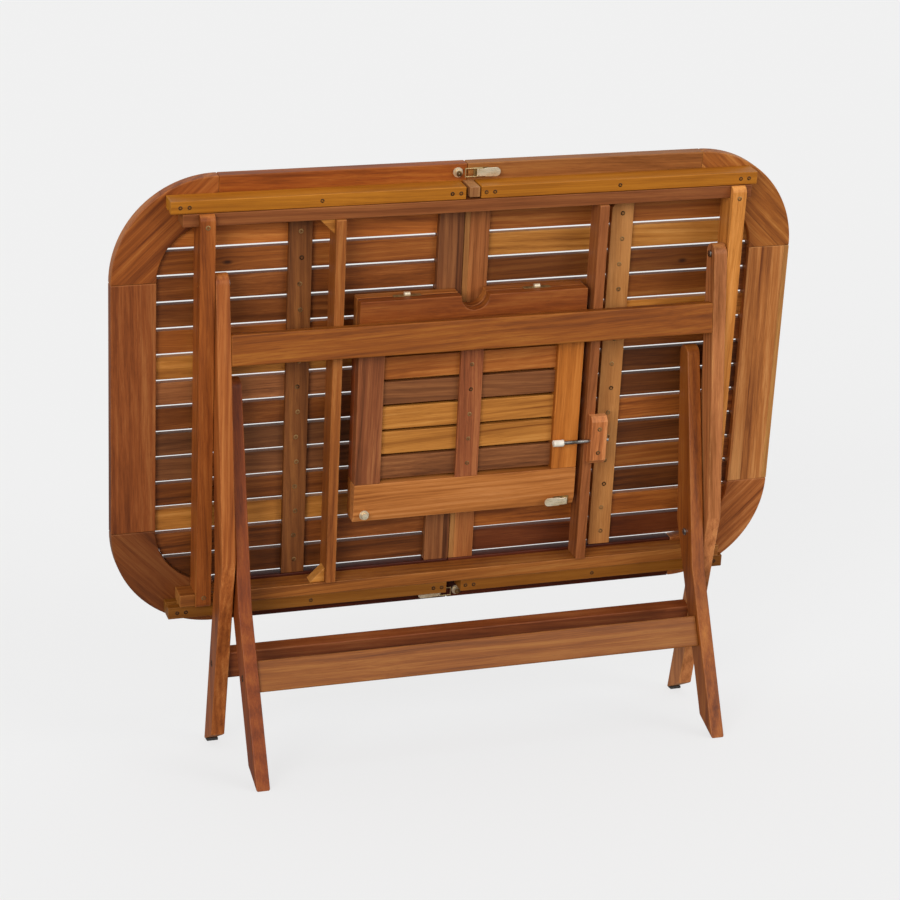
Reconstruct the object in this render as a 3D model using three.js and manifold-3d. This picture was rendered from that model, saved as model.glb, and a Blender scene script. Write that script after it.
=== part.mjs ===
// Folding, extending slatted garden table, standing folded on its own legs.
// Millimetres. +X runs along the table, -Y faces the underside of the folded top, +Z is up.
import * as THREE from 'three';
import Module from 'manifold-3d';
import { mergeVertices } from 'three/addons/utils/BufferGeometryUtils.js';

const wasm = await Module();
wasm.setup();

const rad = THREE.MathUtils.degToRad;

// ---- driving dimensions -------------------------------------------------------------
const topLength = 1200;        // closed tabletop
const topWidth = 800;
const boardThickness = 22;
const frameWidth = 76;         // border boards round the slats
const cornerRadius = 178;
const innerEndWidth = 44;      // border board on each side of the split
const splitGap = 1;
const jointGap = 0.3;          // glue line between two boards
const slatThickness = 12;
const slatGap = 7.5;
const slatCount = 14;
const battenWidth = 40;
const battenThickness = 10;    // flush with the underside of the border boards
const battenAt = 283;          // batten centre, from the middle of the top

const tilt = rad(8.68);        // lean of the folded top, upper edge forward
const topCentreHeight = 620.4;
const frameShift = 11;         // leg frames sit this far right of the closed top

const guideThickness = 21.5;   // runners under each half
const guideDepth = 38;
const guideInset = 28;         // from the long edge of the top
const guideFrom = 13;
const guideTo = 509.5;
const railThickness = 21.5;    // long rails of the underframe
const railDepth = 40;
const railFrom = -490;         // ends, from the middle of the top
const railTo = 500;
const tongue = 4;
const barThickness = 25;       // cross bars
const barDepth = 52;
const runClearance = 3;        // underframe to border boards
const leafRailThickness = 17.5;
const leafRailDepth = 45;
const leafRailLeft = -237.5;   // rail centres, from the middle of the underframe
const leafRailRight = 221.3;

const leafWidth = 402;
const panelHeight = 402;
const panelThickness = 20;
const leafLow = -219;          // lower edge, from the middle of the top
const leafStile = 46;
const leafTopRail = 54;
const leafBottomRail = 70;
const leafSlatCount = 6;
const leafSlatGap = 5;
const notchRadius = 24.5;      // half of the parasol hole

const legThickness = 24;
const legOuterHalf = 449;      // outer faces of the outer legs, from the frame's middle
const legGap = 3;              // between an outer and an inner leg
const legFold = rad(24);       // each pair turns this much to stand in use
const legTopRadius = 18;
const scissor = [-110, 340];   // pivot of the crossed legs, [y, z]
const topBolt = [-130, 841];   // pivot of the top on the outer legs
const innerTop = [-85, 655];   // upper end of the inner legs
const stretcherHeight = 53;
const stretcherThickness = 24;
const upperThickness = 19;     // the upper stretcher clears the leaf rails behind it
const depthCentre = -112.5;    // middle of the whole depth, moved to y = 0

// ---- materials ----------------------------------------------------------------------
const paint = (hex, roughness, metalness = 0) =>
  new THREE.MeshStandardMaterial({ color: hex, roughness, metalness });
const wood = {
  mid: () => paint(0x9a5a30, 0.55),
  red: () => paint(0x8f4c2a, 0.55),
  dark: () => paint(0x6e4028, 0.6),
  gold: () => paint(0xb87a3a, 0.5),
  guide: () => paint(0xb0761f, 0.45),
  pale: () => paint(0xc08c54, 0.5),
};
const brass = () => paint(0xb59a5e, 0.35, 0.9);
const steel = () => paint(0xa8a8a6, 0.3, 0.95);
const cream = () => paint(0xe6e0d2, 0.5);

// ---- helpers ------------------------------------------------------------------------
const solid = (geometry) => {
  const g = mergeVertices(new THREE.BufferGeometry().setAttribute('position',
    geometry.getAttribute('position').clone()).setIndex(geometry.index), 1e-4);
  return wasm.Manifold.ofMesh(new wasm.Mesh({
    numProp: 3,
    vertProperties: new Float32Array(g.getAttribute('position').array),
    triVerts: new Uint32Array(g.index.array),
  }));
};
const skin = (manifold) => {
  const mesh = manifold.getMesh();
  const g = new THREE.BufferGeometry();
  g.setAttribute('position', new THREE.BufferAttribute(mesh.vertProperties, 3));
  g.setIndex(new THREE.BufferAttribute(mesh.triVerts, 1));
  const flat = g.toNonIndexed();
  flat.computeVertexNormals();
  return flat;
};
const join = (...parts) => parts.flat().reduce((a, b) => a.add(b));
const cut = (body, ...tools) => tools.flat().reduce((a, b) => a.subtract(b), body);

const box = (x0, x1, y0, y1, z0, z1) => {
  const g = new THREE.BoxGeometry(x1 - x0, y1 - y0, z1 - z0);
  g.translate((x0 + x1) / 2, (y0 + y1) / 2, (z0 + z1) / 2);
  return solid(g);
};
// outline drawn in (x, z), filled from y0 to y1
const plate = (shape, y0, y1, curveSegments = 12) => {
  const g = new THREE.ExtrudeGeometry(shape, { depth: y1 - y0, bevelEnabled: false, curveSegments });
  g.rotateX(Math.PI / 2).translate(0, y1, 0);
  return solid(g);
};
// outline drawn in (y, z), filled from x0 to x1
const slab = (shape, x0, x1, curveSegments = 10) => {
  const g = new THREE.ExtrudeGeometry(shape, { depth: x1 - x0, bevelEnabled: false, curveSegments });
  g.applyMatrix4(new THREE.Matrix4().makeBasis(
    new THREE.Vector3(0, 1, 0), new THREE.Vector3(0, 0, 1), new THREE.Vector3(1, 0, 0)));
  g.translate(x0, 0, 0);
  return solid(g);
};
// outline drawn in (x, y), filled from z0 to z1
const bar = (shape, z0, z1, curveSegments = 8) => {
  const g = new THREE.ExtrudeGeometry(shape, { depth: z1 - z0, bevelEnabled: false, curveSegments });
  g.translate(0, 0, z0);
  return solid(g);
};
const polygon = (...points) => new THREE.Shape(points.map(([a, b]) => new THREE.Vector2(a, b)));
const rod = (axis, radius, from, to, a, b, sides = 16) => {
  const g = new THREE.CylinderGeometry(radius, radius, to - from, sides);
  g.translate(0, (from + to) / 2, 0);                        // along +Y
  if (axis === 'x') g.rotateZ(-Math.PI / 2).translate(0, a, b);
  if (axis === 'y') g.translate(a, 0, b);
  if (axis === 'z') g.rotateX(Math.PI / 2).translate(a, b, 0);
  return solid(g);
};

const group = new THREE.Group();
group.name = 'folding_patio_table';
const frame = new THREE.Group();                             // leg frames, shifted and centred
frame.position.set(frameShift, -depthCentre, 0);
group.add(frame);
const top = new THREE.Group();                               // tabletop and underframe, tilted
top.position.set(0, -depthCentre - (topWidth / 2) * Math.sin(tilt), topCentreHeight);
top.rotation.x = tilt;
group.add(top);

const add = (parent, name, body, material) => {
  const mesh = new THREE.Mesh(skin(body), material);
  mesh.name = name;
  parent.add(mesh);
};

// ---- tabletop halves ----------------------------------------------------------------
// Local to the top: x along the table, y from the underside (0) up through the boards, z across.
const halfX = topLength / 2;
const halfZ = topWidth / 2;
const arcX = halfX - cornerRadius;
const arcZ = halfZ - cornerRadius;
const innerRadius = cornerRadius - frameWidth;
const slatField = topWidth - 2 * frameWidth;
const slatWidth = (slatField - (slatCount + 1) * slatGap) / slatCount;
const slatPitch = slatWidth + slatGap;

const cornerBoard = (sx, sz) => {
  const g = jointGap / 2;
  const s = new THREE.Shape();
  s.moveTo(arcX + g, arcZ + innerRadius);
  s.lineTo(arcX + g, halfZ);
  s.absarc(arcX + g, arcZ + g, cornerRadius - g, Math.PI / 2, 0, true);
  s.lineTo(arcX + innerRadius, arcZ + g);
  s.absarc(arcX + g, arcZ + g, innerRadius - g, 0, Math.PI / 2, false);
  return plate(s, 0, boardThickness, 9).scale([sx, 1, sz]);
};
// the open field inside the border, drawn a joint's width smaller than the boards leave
const fieldShape = (from) => {
  const g = jointGap;
  const s = new THREE.Shape();
  s.moveTo(from, -(halfZ - frameWidth) + g);
  s.lineTo(arcX, -(halfZ - frameWidth) + g);
  s.absarc(arcX, -arcZ, innerRadius - g, -Math.PI / 2, 0, false);
  s.lineTo(halfX - frameWidth - g, arcZ);
  s.absarc(arcX, arcZ, innerRadius - g, 0, Math.PI / 2, false);
  s.lineTo(from, halfZ - frameWidth - g);
  return s;
};
const slatPanel = (sx) => {
  const from = splitGap / 2 + innerEndWidth + jointGap;
  const slats = [];
  for (let i = 0; i < slatCount; i += 1) {
    const z0 = -halfZ + frameWidth + slatGap + i * slatPitch;
    slats.push(box(from, halfX, boardThickness - slatThickness, boardThickness, z0, z0 + slatWidth));
  }
  const batten = box(battenAt - battenWidth / 2, battenAt + battenWidth / 2, 0,
    battenThickness + 0.5, -halfZ + frameWidth + 1, halfZ - frameWidth - 1);
  return join(slats).add(batten).intersect(plate(fieldShape(from), -5, boardThickness + 1, 9))
    .scale([sx, 1, 1]);
};
// runner with a groove for the rail's tongue in the side that faces the middle
const guideLow = halfZ - guideInset - guideThickness;
const grooveY = [-24, -15];
const guide = (sx, sz) => cut(
  box(guideFrom, guideTo, -guideDepth, -jointGap, guideLow, guideLow + guideThickness),
  box(guideFrom - 1, guideTo + 1, grooveY[0], grooveY[1], guideLow - 1, guideLow + tongue + 0.8),
).scale([sx, 1, sz]);

for (const [side, sx] of [['left', -1], ['right', 1]]) {
  const tone = sx < 0 ? wood.mid : wood.red;
  add(top, `${side}_end_board`, box(arcX + innerRadius, halfX, 0, boardThickness,
    -arcZ + jointGap / 2, arcZ - jointGap / 2).scale([sx, 1, 1]), wood.mid());
  for (const [edge, sz] of [['top', 1], ['bottom', -1]]) {
    add(top, `${side}_corner_${edge}`, cornerBoard(sx, sz), wood.mid());
    add(top, `${side}_side_${edge}`, box(splitGap / 2, arcX - jointGap / 2, 0, boardThickness,
      halfZ - frameWidth, halfZ).scale([sx, 1, sz]), wood.red());
    add(top, `${side}_guide_${edge}`, guide(sx, sz), wood.guide());
  }
  add(top, `${side}_inner_end`, box(splitGap / 2, splitGap / 2 + innerEndWidth, 0, boardThickness,
    -halfZ + frameWidth + jointGap, halfZ - frameWidth - jointGap).scale([sx, 1, 1]),
    sx < 0 ? wood.dark() : wood.red());
  add(top, `${side}_slats`, slatPanel(sx), tone());
}
// block that bridges the split between the upper runners, fixed to the right half
add(top, 'guide_stop', box(-8, 9.5, -42, -jointGap, guideLow + tongue + 0.5, guideLow + guideThickness),
  wood.pale());

// ---- underframe ---------------------------------------------------------------------
const railOuter = guideLow - 0.5;
const railInner = railOuter - railThickness;
const longRail = (sz) => join(
  box(railFrom, railTo, -railDepth, -0.5, railInner, railOuter),
  box(railFrom, railTo, grooveY[0] + 0.6, grooveY[1] - 0.6,
    railOuter - 1, railOuter + tongue),
).scale([1, 1, sz]);
add(top, 'rail_top', longRail(1), wood.red());
add(top, 'rail_bottom', longRail(-1), wood.red());

// cross bar: full depth between the rails, lapped over them at both rounded ends
const crossBar = (x0) => {
  const r = 11;
  const end = railOuter;
  const s = new THREE.Shape();
  s.moveTo(-runClearance, railInner - jointGap);
  s.lineTo(-railDepth - jointGap, railInner - jointGap);
  s.lineTo(-railDepth - jointGap, end);
  s.absarc(-barDepth + r, end - r, r, Math.PI / 2, Math.PI, false);
  s.absarc(-barDepth + r, -end + r, r, Math.PI, Math.PI * 1.5, false);
  s.lineTo(-railDepth - jointGap, -end);
  s.lineTo(-railDepth - jointGap, -railInner + jointGap);
  s.lineTo(-runClearance, -railInner + jointGap);
  return slab(s, x0, x0 + barThickness);
};
const barInner = legOuterHalf + 1;
// pin for the stay, standing inwards from each cross bar
const turn = ([y, z], [cy, cz], angle) => {
  const [c, s] = [Math.cos(angle), Math.sin(angle)];
  return [cy + (y - cy) * c - (z - cz) * s, cz + (y - cy) * s + (z - cz) * c];
};
const topOrigin = [-(topWidth / 2) * Math.sin(tilt), topCentreHeight];
const toTop = ([y, z]) => turn([y - topOrigin[0], z - topOrigin[1]], [0, 0], -tilt);
const fromTop = (p) => turn(p, [0, 0], tilt).map((value, i) => value + topOrigin[i]);
const boltLocal = toTop(topBolt);
// In use the outer legs have turned by legFold, the inner legs by -legFold, and the top is level.
const boltInUse = turn(topBolt, scissor, legFold);
const innerInUse = turn(innerTop, scissor, -legFold);
const innerLocal = toTop(innerTop);
// place on the cross bar that is equally far from the inner leg's end, folded and in use
const stayDepth = boltLocal[0];
const useY = boltInUse[0] + boltLocal[1] - innerInUse[0];    // along the level top, from its middle
const useZ = boltInUse[1] - innerInUse[1];
const foldY = stayDepth - innerLocal[0];
const stayAlong = (innerLocal[1] ** 2 + foldY ** 2 - useY ** 2 - useZ ** 2)
  / (2 * innerLocal[1] - 2 * useY);
const stayLocal = [stayDepth, stayAlong];
const stayLength = Math.hypot(foldY, stayAlong - innerLocal[1]);

const pinRadius = 4;
for (const [side, sx] of [['left', -1], ['right', 1]]) {
  const x0 = frameShift + (sx < 0 ? -barInner - barThickness : barInner);
  const bore = (y, z, r) => rod('x', r, frameShift - 600, frameShift + 600, y, z, 20);
  const tip = legOuterHalf - legThickness - legGap + 0.9;
  const pin = rod('x', pinRadius, tip, barInner + 2, stayLocal[0], stayLocal[1], 16)
    .scale([sx, 1, 1]).translate([frameShift, 0, 0]);
  add(top, `cross_bar_${side}`, cut(crossBar(x0), bore(boltLocal[0], boltLocal[1], 4.2)).add(pin),
    side === 'left' ? wood.mid() : wood.gold());
}
const leafRail = (centre) => box(frameShift + centre - leafRailThickness / 2,
  frameShift + centre + leafRailThickness / 2, -leafRailDepth, -runClearance,
  -railInner + jointGap, railInner - jointGap);
add(top, 'leaf_rail_left', leafRail(leafRailLeft), wood.mid());
add(top, 'leaf_rail_right', leafRail(leafRailRight), wood.red());

// three-cornered glue blocks between a leaf rail and a long rail
const blockLeg = 26;
const cornerBlock = (x, sx, sz) => plate(polygon([0, 0], [blockLeg, 0], [0, -blockLeg]), -36, -14)
  .scale([sx, 1, sz]).translate([x, 0, sz * (railInner - jointGap)]);
const leafLeftFace = frameShift + leafRailLeft - leafRailThickness / 2 - jointGap;
add(top, 'corner_block_top', cornerBlock(leafLeftFace, -1, 1), wood.gold());
add(top, 'corner_block_bottom', cornerBlock(leafLeftFace, -1, -1), wood.gold());

// retaining pin that slides in a block on the right leaf rail
const pinAlong = -96;
const pinDepth = -55;
const blockX = [229, 258];
const blockShape = polygon([-leafRailDepth - jointGap, -138], [-57, -138], [-64, -130], [-64, -58],
  [-57, -50], [-leafRailDepth - jointGap, -50]);
add(top, 'pin_block', cut(slab(blockShape, blockX[0], blockX[1]),
  rod('x', 3.7, 200, 300, pinDepth, pinAlong, 20)), wood.red());
const capX = [163, 181];
add(top, 'retaining_pin', rod('x', 3.3, capX[0] + 3, 264, pinDepth, pinAlong, 16), steel());
add(top, 'pin_cap', cut(rod('x', 5.8, capX[0], capX[1], pinDepth, pinAlong, 20),
  rod('x', 3.6, capX[0] + 2.5, 200, pinDepth, pinAlong, 16)), cream());

// ---- folded leaf --------------------------------------------------------------------
const leafX = [frameShift - leafWidth / 2, frameShift + leafWidth / 2];
const leafZ = [leafLow, leafLow + panelHeight];
const backY = [-runClearance - panelThickness, -runClearance];
const frontY = [backY[0] - 1 - panelThickness, backY[0] - 1];
// slats between y0 and y1, and the batten in front of them from battenFace
const leafSlats = (y0, y1, battenFace) => {
  const z0 = leafZ[0] + leafBottomRail;
  const z1 = leafZ[1] - leafTopRail;
  const width = (z1 - z0 - (leafSlatCount + 1) * leafSlatGap) / leafSlatCount;
  const parts = [];
  for (let i = 0; i < leafSlatCount; i += 1) {
    const low = z0 + leafSlatGap + i * (width + leafSlatGap);
    parts.push(box(leafX[0] + leafStile + jointGap, leafX[1] - leafStile - jointGap, y0, y1,
      low, low + width));
  }
  const half = battenWidth / 2;
  parts.push(box(frameShift - half, frameShift + half, battenFace, y0 + 0.5, z0 + jointGap,
    z1 - jointGap));
  return join(parts);
};
const parasolNotch = rod('y', notchRadius, -60, 0, frameShift, leafZ[1] - 2, 28);
add(top, 'leaf_top_rail', cut(box(leafX[0], leafX[1], frontY[0], frontY[1],
  leafZ[1] - leafTopRail, leafZ[1]), parasolNotch), wood.mid());
add(top, 'leaf_bottom_rail', box(leafX[0], leafX[1], frontY[0], frontY[1],
  leafZ[0], leafZ[0] + leafBottomRail), wood.gold());
const stile = (x0) => box(x0, x0 + leafStile, frontY[0], frontY[1],
  leafZ[0] + leafBottomRail + jointGap, leafZ[1] - leafTopRail - jointGap);
add(top, 'leaf_stile_left', stile(leafX[0]), wood.dark());
add(top, 'leaf_stile_right', stile(leafX[1] - leafStile), wood.gold());
add(top, 'leaf_slats', leafSlats(frontY[0] + 9, frontY[0] + 18, frontY[0] + 1), wood.mid());
const backPanel = join(
  cut(box(leafX[0], leafX[1], backY[0], backY[1], leafZ[0], leafZ[1]),
    box(leafX[0] + leafStile, leafX[1] - leafStile, -60, 0,
      leafZ[0] + leafBottomRail, leafZ[1] - leafTopRail), parasolNotch),
  leafSlats(backY[0] + 3, backY[1] - 2, backY[0]),
  box(leafX[0] + leafStile - 1, leafX[0] + leafStile + 1, backY[0] + 4, backY[1] - 4,
    leafZ[0] + leafBottomRail - 1, leafZ[1] - leafTopRail + 1),
  box(leafX[1] - leafStile - 1, leafX[1] - leafStile + 1, backY[0] + 4, backY[1] - 4,
    leafZ[0] + leafBottomRail - 1, leafZ[1] - leafTopRail + 1));
add(top, 'leaf_back_panel', backPanel, wood.mid());

// ---- draw latches and their catches --------------------------------------------------
// Drawn with the face they sit on at y = 0, the lever running along +x.
const catchBody = () => {
  const profile = [[0.01, -0.3], [8.5, -0.3], [8.5, -2.2], [4.2, -2.6], [3.6, -6], [6, -7], [5.4, -8.6],
    [0.01, -9.2]].reverse();
  const g = new THREE.LatheGeometry(profile.map(([r, y]) => new THREE.Vector2(r < 0.1 ? 0 : r, y)), 20);
  return solid(g);
};
const pivotX = 17;
const pivotY = -6;
const loopX = 24;
const latchBase = () => join(
  box(10, 36, -2.2, -0.3, -7, 7),
  [-1, 1].map((s) => cut(join(
    box(pivotX - 3.2, pivotX + 3.2, pivotY, -1.5, s > 0 ? 4.3 : -5.8, s > 0 ? 5.8 : -4.3),
    rod('z', 3.2, s > 0 ? 4.3 : -5.8, s > 0 ? 5.8 : -4.3, pivotX, pivotY, 14)),
  rod('z', 1.75, -9, 9, pivotX, pivotY, 12))));
const latchLever = () => {
  const s = new THREE.Shape();
  s.moveTo(pivotX - 3, pivotY + 2);
  s.lineTo(loopX + 3, pivotY + 2);
  s.quadraticCurveTo(loopX + 8, pivotY - 0.2, loopX + 16, pivotY - 0.4);
  s.lineTo(54, pivotY - 1.4);
  s.lineTo(54, pivotY - 3);
  s.lineTo(loopX + 6, pivotY - 2.4);
  s.lineTo(pivotX - 3, pivotY - 2.4);
  return cut(bar(s, -4, 4, 4).add(rod('z', 1.5, -5.5, 5.5, pivotX, pivotY, 12)),
    rod('z', 1.5, -9, 9, loopX, pivotY, 12));
};
const loopEnd = -5.5;
const latchLoop = () => join(
  rod('z', 1.1, -7.8, 7.8, loopX, pivotY, 8),
  rod('z', 1.1, -7.8, 7.8, loopEnd, pivotY, 8),
  rod('x', 1.1, loopEnd, loopX, pivotY, 7, 8),
  rod('x', 1.1, loopEnd, loopX, pivotY, -7, 8));
const latchAlong = 386;
// the lower latch is turned end for end, with its lever on the left half
for (const [edge, sx, sz] of [['top', 1, 1], ['bottom', -1, -1]]) {
  const at = [0, 0, sz * latchAlong];
  add(top, `catch_${edge}`, catchBody().translate([-17.2 * sx, 0, sz * latchAlong]), brass());
  add(top, `latch_base_${edge}`, latchBase().scale([sx, 1, 1]).translate(at), brass());
  add(top, `latch_lever_${edge}`, latchLever().scale([sx, 1, 1]).translate(at), brass());
  add(top, `latch_loop_${edge}`, latchLoop().scale([sx, 1, 1]).translate(at), steel());
}
const leafFace = frontY[0];
const leafLatchAt = [leafX[1] - 2, leafFace, -208];
add(top, 'leaf_catch', catchBody().translate([-171, leafFace, -205]), brass());
add(top, 'leaf_latch_base', latchBase().scale([-1, 1, 1]).translate(leafLatchAt), brass());
add(top, 'leaf_latch_lever', latchLever().scale([-1, 1, 1]).translate(leafLatchAt), brass());

// ---- leg frames ---------------------------------------------------------------------
// Outlines in (y, z) of the folded side view; each leg is bent at the scissor bolt.
const footCut = (back, angle) => ([fy, fz], [ky, kz]) => {
  // where the leg's front line meets a cut that runs through its floor corner
  const slope = (kz - fz) / (ky - fy);
  const rise = Math.tan(angle);
  const y = (fz - slope * fy + rise * back[0] - back[1]) / (rise - slope);
  return [y, back[1] + rise * (y - back[0])];
};
const legShape = (foot, centre, knees) => {
  const [footFront, footBack] = foot;
  const [front, back] = knees;
  const s = new THREE.Shape();
  s.moveTo(...footBack);
  s.lineTo(...back);
  s.lineTo(centre[0] + legTopRadius, centre[1]);
  s.absarc(centre[0], centre[1], legTopRadius, 0, Math.PI, false);
  s.lineTo(...front);
  s.lineTo(...footFront);
  return s;
};
const outerKnees = [[-148, 372], [-90, 341]];
const outerBack = [25, 0];
const outerFront = footCut(outerBack, -legFold)([-32, 21.6], outerKnees[0]);
const innerKnees = [[-143.8, 284], [-70.4, 352]];
const innerFront = [-250, 0];
const innerBack = footCut(innerFront, legFold)([-192, 27], innerKnees[1]);

const through = (p, r) => rod('x', r, -600, 600, p[0], p[1], 20);
const outerLeg = (x0) => cut(slab(legShape([outerFront, outerBack], topBolt, outerKnees),
  x0, x0 + legThickness), through(scissor, 4.2), through(topBolt, 4.2));
const innerLeg = (x0) => cut(slab(legShape([innerFront, innerBack], innerTop, innerKnees),
  x0, x0 + legThickness), through(scissor, 4.2));
const innerHalf = legOuterHalf - legThickness - legGap;
add(frame, 'outer_leg_left', outerLeg(-legOuterHalf), wood.mid());
add(frame, 'outer_leg_right', outerLeg(legOuterHalf - legThickness), wood.red());
add(frame, 'inner_leg_left', innerLeg(-innerHalf), wood.mid());
add(frame, 'inner_leg_right', innerLeg(innerHalf - legThickness), wood.mid());

const stretcher = (half, [y, z], angle, thickness = stretcherThickness) => {
  const g = new THREE.BoxGeometry(2 * half, thickness, stretcherHeight);
  g.rotateX(angle).translate(0, y, z);
  return solid(g);
};
const outerBetween = legOuterHalf - legThickness - jointGap;
const innerBetween = innerHalf - legThickness - jointGap;
const lowerOuterLean = Math.atan2(116, 350);
const lowerInnerLean = -Math.atan2(106, 284);
add(frame, 'upper_stretcher', stretcher(outerBetween, [-138.5, 731], 0, upperThickness),
  wood.red());
add(frame, 'rear_stretcher', stretcher(outerBetween, [-52, 165], lowerOuterLean), wood.mid());
add(frame, 'front_stretcher', stretcher(innerBetween, [-164, 172], lowerInnerLean), wood.mid());

// bolts: domed head outside, washer between the legs, barrel nut inside
const boltProfile = (from, to, rings) => {
  const pts = [[0, from], [5.5, from], [6.5, from + 1], [6.5, from + 3], [4, from + 3]];
  for (const [a, b] of rings) pts.push([4, a], [8.5, a], [8.5, b], [4, b]);
  pts.push([4, to], [0, to]);
  const g = new THREE.LatheGeometry(pts.map(([r, y]) => new THREE.Vector2(r, y)), 18);
  g.rotateZ(-Math.PI / 2);                                   // axis to +x, head at the small end
  return solid(g);
};
for (const [side, sx] of [['left', -1], ['right', 1]]) {
  // seen from the middle outwards, so each bolt is drawn with its head on the inside
  const washer = [legOuterHalf - legThickness - legGap + 0.3, legOuterHalf - legThickness - 0.3];
  const scissorBolt = boltProfile(innerHalf - legThickness - 3.3, legOuterHalf - 2, [washer]);
  add(frame, `scissor_bolt_${side}`,
    scissorBolt.translate([0, scissor[0], scissor[1]]).scale([sx, 1, 1]), steel());
  const pivotBolt = boltProfile(legOuterHalf - legThickness - 3.3, barInner + barThickness - 4, []);
  add(frame, `top_bolt_${side}`,
    pivotBolt.translate([0, topBolt[0], topBolt[1]]).scale([sx, 1, 1]), steel());
}

// steel stays: an eye on the cross bar's pin, an open hook over the inner leg's end
const stayAngle = Math.atan2(innerLocal[1] - stayLocal[1], innerLocal[0] - stayLocal[0]);
const stayShape = () => {
  const half = 6.5;
  const end = stayLength;
  const s = new THREE.Shape();
  s.absarc(0, 0, 10, rad(41), rad(319), false);
  s.lineTo(end - 12, -half);
  s.absarc(end, 0, 10.5, rad(220), rad(60) + 2 * Math.PI, false);
  s.absarc(end, 0, 4.7, rad(60), rad(120), true);
  s.lineTo(end - 12, half);
  return s;
};
for (const [side, sx] of [['left', -1], ['right', 1]]) {
  const g = new THREE.ExtrudeGeometry(stayShape(), { depth: 1.6, bevelEnabled: false, curveSegments: 10 });
  g.rotateZ(stayAngle);
  g.applyMatrix4(new THREE.Matrix4().makeBasis(
    new THREE.Vector3(0, 1, 0), new THREE.Vector3(0, 0, 1), new THREE.Vector3(1, 0, 0)));
  g.translate(innerHalf + 0.7, stayLocal[0], stayLocal[1]);
  const eye = rod('x', pinRadius + 0.4, 0, 600, stayLocal[0], stayLocal[1], 20);
  add(top, `stay_${side}`, cut(solid(g), eye).scale([sx, 1, 1]).translate([frameShift, 0, 0]), steel());
}

export default group;
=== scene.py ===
import math
import random

import bmesh
import bpy
from mathutils import Matrix, Vector


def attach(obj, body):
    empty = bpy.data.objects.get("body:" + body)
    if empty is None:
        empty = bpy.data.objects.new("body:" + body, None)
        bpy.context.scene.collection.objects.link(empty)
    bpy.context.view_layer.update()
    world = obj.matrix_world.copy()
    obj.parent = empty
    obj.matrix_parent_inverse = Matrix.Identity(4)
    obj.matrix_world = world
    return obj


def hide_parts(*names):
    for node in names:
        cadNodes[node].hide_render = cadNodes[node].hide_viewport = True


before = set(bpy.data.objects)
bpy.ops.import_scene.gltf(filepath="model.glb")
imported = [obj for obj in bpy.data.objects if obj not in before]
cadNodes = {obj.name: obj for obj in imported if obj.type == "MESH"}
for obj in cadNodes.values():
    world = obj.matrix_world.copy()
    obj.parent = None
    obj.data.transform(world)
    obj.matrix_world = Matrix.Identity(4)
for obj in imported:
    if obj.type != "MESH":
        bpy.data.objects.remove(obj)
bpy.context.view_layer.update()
print("stage 1: the packed table is loaded")

mm = 0.001

# the folded tabletop leans forward; the leg frames stand a little right of its middle
table = {"tilt": 8.68, "topY": 0.05213, "topZ": 0.6204, "legX": 0.011, "legY": 0.1125}
topPlace = (Matrix.Translation((0, table["topY"], table["topZ"]))
            @ Matrix.Rotation(math.radians(table["tilt"]), 4, "X"))
legPlace = Matrix.Translation((table["legX"], table["legY"], 0))


# ---- camera
camera = {"place": (-1.4055, -4.2835, 1.7103), "turn": 17.818, "down": 14.762, "lens": 109.26}


def setCamera():
    data = bpy.data.cameras.new("camera")
    data.lens = camera["lens"]
    data.sensor_width = 36
    data.clip_end = 200
    thing = bpy.data.objects.new("camera", data)
    thing.location = camera["place"]
    thing.rotation_euler = (math.radians(90 - camera["down"]), 0, -math.radians(camera["turn"]))
    bpy.context.scene.collection.objects.link(thing)
    bpy.context.scene.camera = thing


setCamera()


# ---- node helpers
def startMaterial(name):
    material = bpy.data.materials.new(name)
    material.use_nodes = True
    material.node_tree.nodes.clear()
    return material, material.node_tree


def put(tree, kind, inputs=None, **settings):
    node = tree.nodes.new(kind)
    for key, value in settings.items():
        setattr(node, key, value)
    for socket, value in (inputs or {}).items():
        if isinstance(value, bpy.types.NodeSocket):
            tree.links.new(value, node.inputs[socket])
        else:
            node.inputs[socket].default_value = value
    return node


def maths(tree, operation, *values):
    return put(tree, "ShaderNodeMath", dict(enumerate(values)), operation=operation).outputs[0]


def stretched(tree, vector, scale, detail=2.0, roughness=0.5):
    mapped = put(tree, "ShaderNodeMapping", {"Vector": vector, "Scale": scale})
    noise = put(tree, "ShaderNodeTexNoise", {"Vector": mapped.outputs[0], "Scale": 1.0,
                                             "Detail": detail, "Roughness": roughness})
    return noise.outputs["Fac"]


def mixColours(tree, share, first, second):
    # sockets 6 and 7 are the two colours, and output 2 is the mixed one
    return put(tree, "ShaderNodeMix", {0: share, 6: first, 7: second}, data_type="RGBA").outputs[2]


def vectors(tree, operation, first, second):
    socket = "Scale" if operation == "SCALE" else 1
    node = put(tree, "ShaderNodeVectorMath", {0: first, socket: second}, operation=operation)
    return node.outputs[0]


def mask(tree, value, empty, full):
    # 0 at the empty value, 1 at the full one
    node = put(tree, "ShaderNodeMapRange", {"Value": value, "From Min": empty, "From Max": full})
    return node.outputs[0]


def ramp(tree, value, stops):
    node = put(tree, "ShaderNodeValToRGB", {"Fac": value})
    elements = node.color_ramp.elements
    while len(elements) < len(stops):
        elements.new(0.5)
    for element, (position, colour) in zip(elements, stops):
        element.position = position
        element.color = colour
    return node.outputs["Color"]


def colour(code):
    parts = [int(code[i:i + 2], 16) / 255 for i in (0, 2, 4)]
    return [p / 12.92 if p <= 0.04045 else ((p + 0.055) / 1.055) ** 2.4 for p in parts] + [1.0]


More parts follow.
